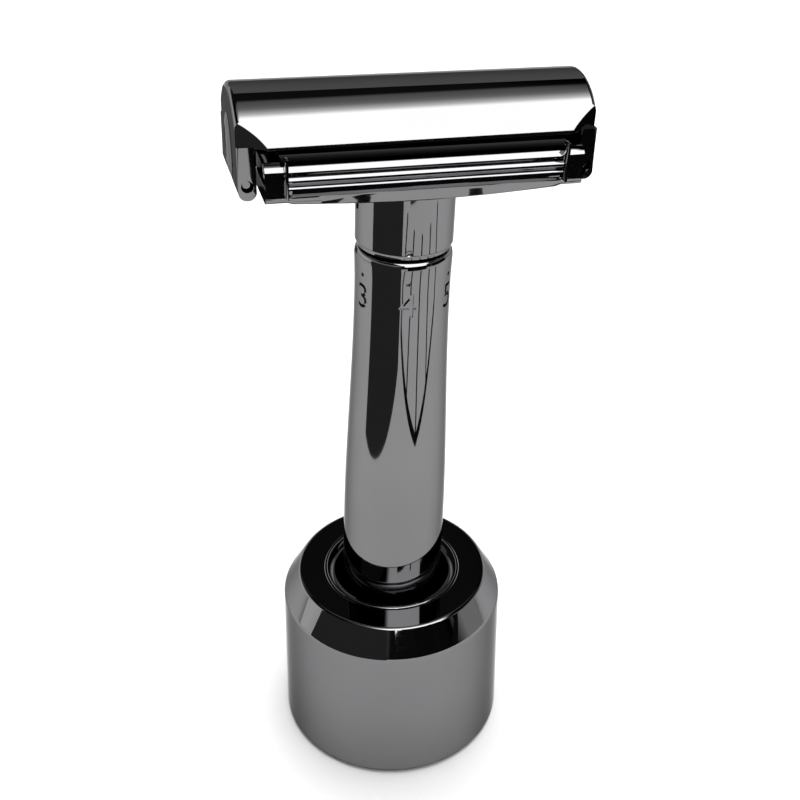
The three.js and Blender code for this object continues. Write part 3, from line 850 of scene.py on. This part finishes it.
# a band of light that arches over the object from front to back, dark elsewhere
def makeSky():
    world = bpy.data.worlds.new("studioSky")
    studio.world = world
    world.use_nodes = True
    nodes, links = world.node_tree.nodes, world.node_tree.links
    arch = nodes["Background"]
    place = nodes.new("ShaderNodeTexCoord")
    turn = nodes.new("ShaderNodeMapping")
    turn.inputs["Rotation"].default_value = (0, 0, math.radians(-lighting["skyAzimuth"]))
    links.new(place.outputs["Generated"], turn.inputs["Vector"])
    split = nodes.new("ShaderNodeSeparateXYZ")
    links.new(turn.outputs["Vector"], split.inputs["Vector"])
    ahead = mathNode(nodes, links, "MULTIPLY", split.outputs["Y"], -1.0)
    climb = mathNode(nodes, links, "ARCTAN2", split.outputs["Z"], ahead)
    share = mathNode(nodes, links, "DIVIDE", climb, math.pi)
    arch.inputs["Color"].default_value = (1, 1, 1, 1)
    ramp = nodes.new("ShaderNodeValToRGB")
    stops = ramp.color_ramp.elements
    for i, (degrees, value) in enumerate(lighting["skyBands"]):
        stop = stops[i] if i < 2 else stops.new(degrees / 180)
        stop.position = degrees / 180
        stop.color = (value, value, value, 1)
    links.new(share, ramp.inputs["Fac"])
    aside = mathNode(nodes, links, "ABSOLUTE", split.outputs["X"])
    window = nodes.new("ShaderNodeMapRange")
    window.interpolation_type = "SMOOTHSTEP"
    window.inputs["From Min"].default_value = lighting["skyHalfWidth"]
    window.inputs["From Max"].default_value = lighting["skyHalfWidth"] + lighting["skyFade"]
    window.inputs["To Min"].default_value = lighting["boxGlow"]
    window.inputs["To Max"].default_value = 0.0
    links.new(aside, window.inputs["Value"])
    band = mathNode(nodes, links, "MULTIPLY", ramp.outputs["Color"], window.outputs["Result"])
    low = nodes.new("ShaderNodeMapRange")
    low.inputs["From Min"].default_value, low.inputs["From Max"].default_value = lighting["sideFade"]
    low.inputs["To Min"].default_value = lighting["sideGlow"]
    low.inputs["To Max"].default_value = 0.0
    links.new(split.outputs["Z"], low.inputs["Value"])
    around = nodes.new("ShaderNodeMapRange")
    around.inputs["From Min"].default_value, around.inputs["From Max"].default_value = lighting["aroundFade"]
    links.new(ahead, around.inputs["Value"])
    behind = nodes.new("ShaderNodeMapRange")
    behind.inputs["From Min"].default_value, behind.inputs["From Max"].default_value = lighting["backFade"]
    behind.inputs["To Min"].default_value = 1.0
    behind.inputs["To Max"].default_value = lighting["backLift"]
    links.new(ahead, behind.inputs["Value"])
    sides = mathNode(nodes, links, "MULTIPLY", low.outputs["Result"], around.outputs["Result"])
    sides = mathNode(nodes, links, "MULTIPLY", sides, behind.outputs["Result"])
    links.new(mathNode(nodes, links, "ADD", band, sides), arch.inputs["Strength"])
    rays = nodes.new("ShaderNodeLightPath")
    shader = arch.outputs["Background"]
    for ray, value in (("Is Diffuse Ray", lighting["ambient"]), ("Is Camera Ray", 1.0)):
        plain = nodes.new("ShaderNodeBackground")
        plain.inputs["Strength"].default_value = value
        plain.inputs["Color"].default_value = (1, 1, 1, 1)
        mix = nodes.new("ShaderNodeMixShader")
        links.new(rays.outputs[ray], mix.inputs["Fac"])
        links.new(shader, mix.inputs[1])
        links.new(plain.outputs["Background"], mix.inputs[2])
        shader = mix.outputs["Shader"]
    links.new(shader, nodes["World Output"].inputs["Surface"])


makeFloor()
makeTopLight()
makeFlags()
makeRig()
makeSky()
studio.view_settings.view_transform = "Standard"
print("studio made")

# camera
view = {
    "azimuth": -15.3, "pitch": 32.22, "roll": 0.48, "lens": 49.96,
    "distance": 145.4, "height": 155.1, "aside": 1.2,
}


def makeCamera():
    a, p, r = (math.radians(view[key]) for key in ("azimuth", "pitch", "roll"))
    right = Vector((math.cos(a), math.sin(a), 0))
    ahead = Vector((-math.sin(a), math.cos(a), 0))
    look = ahead * math.cos(p) - Vector((0, 0, 1)) * math.sin(p)
    up = right.cross(look)
    tiltedRight = right * math.cos(r) + up * math.sin(r)
    tiltedUp = up * math.cos(r) - right * math.sin(r)
    place = (right * view["aside"] - ahead * view["distance"] + Vector((0, 0, view["height"]))) * mm
    bpy.ops.object.camera_add()
    camera = bpy.context.object
    camera.data.lens = view["lens"]
    camera.data.sensor_width = 36
    camera.data.clip_start = 0.005
    camera.matrix_world = Matrix((
        (tiltedRight.x, tiltedUp.x, -look.x, place.x),
        (tiltedRight.y, tiltedUp.y, -look.y, place.y),
        (tiltedRight.z, tiltedUp.z, -look.z, place.z),
        (0, 0, 0, 1)))
    studio.camera = camera


makeCamera()
print("camera placed")
